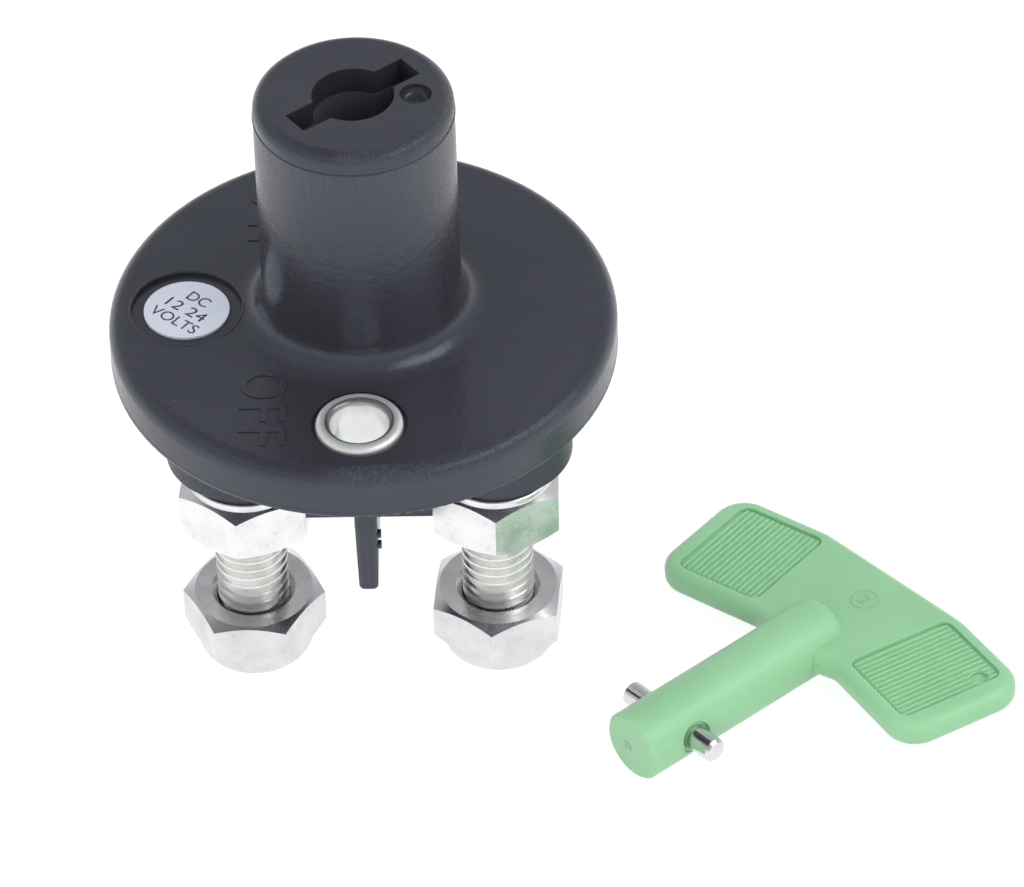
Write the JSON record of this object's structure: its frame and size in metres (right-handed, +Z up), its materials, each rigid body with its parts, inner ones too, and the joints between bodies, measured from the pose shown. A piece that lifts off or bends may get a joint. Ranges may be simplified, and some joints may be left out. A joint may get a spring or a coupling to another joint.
{
  "type": "battery switch",
  "caption": "Battery isolator switch: round flange, tubular neck with a winged key hole, threaded terminal studs with nuts, and a loose T-handle key.",
  "frame": {"origin": "centre of the flange's underside, the face that seats on a panel", "axes": "+Z up the neck, towards the key hole; X through the two terminal studs; Y through the two fixing holes"},
  "size_m": [0.1203, 0.067, 0.0963],
  "materials": {
    "black_nylon": "matt black glass-filled nylon, fine scratches",
    "seal_rubber": "soft black rubber",
    "zinc_plate": "bright zinc plate on steel",
    "tin_plate": "bright tin plate on brass, thread rolled",
    "white_nylon": "natural nylon",
    "bright_nickel": "bright nickel plate, rolled",
    "label_foil": "satin silver foil",
    "acetal": "smooth dark grey acetal",
    "copper": "bare copper, bright drawn",
    "silver": "silver contact alloy",
    "spring_wire": "drawn stainless wire",
    "green_plastic": "satin light green moulded plastic",
    "pin_steel": "ground stainless steel"
  },
  "bodies": {
    "switch_body": {"housing": "black_nylon", "base_cover": "black_nylon", "base_gasket": "seal_rubber", "cover_screws": "zinc_plate", "terminal_divider": "black_nylon", "stud_left": "tin_plate", "stud_right": "tin_plate", "stud_seal_left": "seal_rubber", "stud_seal_right": "seal_rubber", "stud_nut_left": "zinc_plate", "stud_nut_right": "zinc_plate", "lock_nut_left": "zinc_plate", "lock_nut_right": "zinc_plate", "insert_left": "white_nylon", "insert_right": "white_nylon", "eyelet_front": "bright_nickel", "eyelet_rear": "bright_nickel", "label_disc": "label_foil", "thrust_ring": "acetal", "return_spring": "spring_wire"},
    "rotor": {"cam_rotor": "acetal", "rotor_seal": "seal_rubber"},
    "carrier": {"plunger": "acetal", "contact_bridge": "copper", "contact_tips": "silver", "contact_spring": "spring_wire", "bridge_clip": "spring_wire"},
    "key": {"key_body": "green_plastic", "key_pin": "pin_steel"}
  },
  "joints": [
    {"name": "rotor_turn", "type": "hinge", "parent": "switch_body", "child": "rotor", "pos_m": [0, 0, 0.016], "axis": [0, 0, 1], "range_deg": [-90, 0]},
    {"name": "carrier_slide", "type": "slide", "parent": "switch_body", "child": "carrier", "axis": [0, 0, -1], "range_m": [0, 0.00301], "deforming": ["return_spring"]},
    {"name": "key_lift", "type": "slide", "parent": "switch_body", "child": "key", "axis": [0, 0, 1], "range_m": [0, 0.03]}
  ],
  "couplings": [
    {"joint": "carrier_slide", "follows": "rotor_turn", "m_per_rad": -0.0019099}
  ]
}
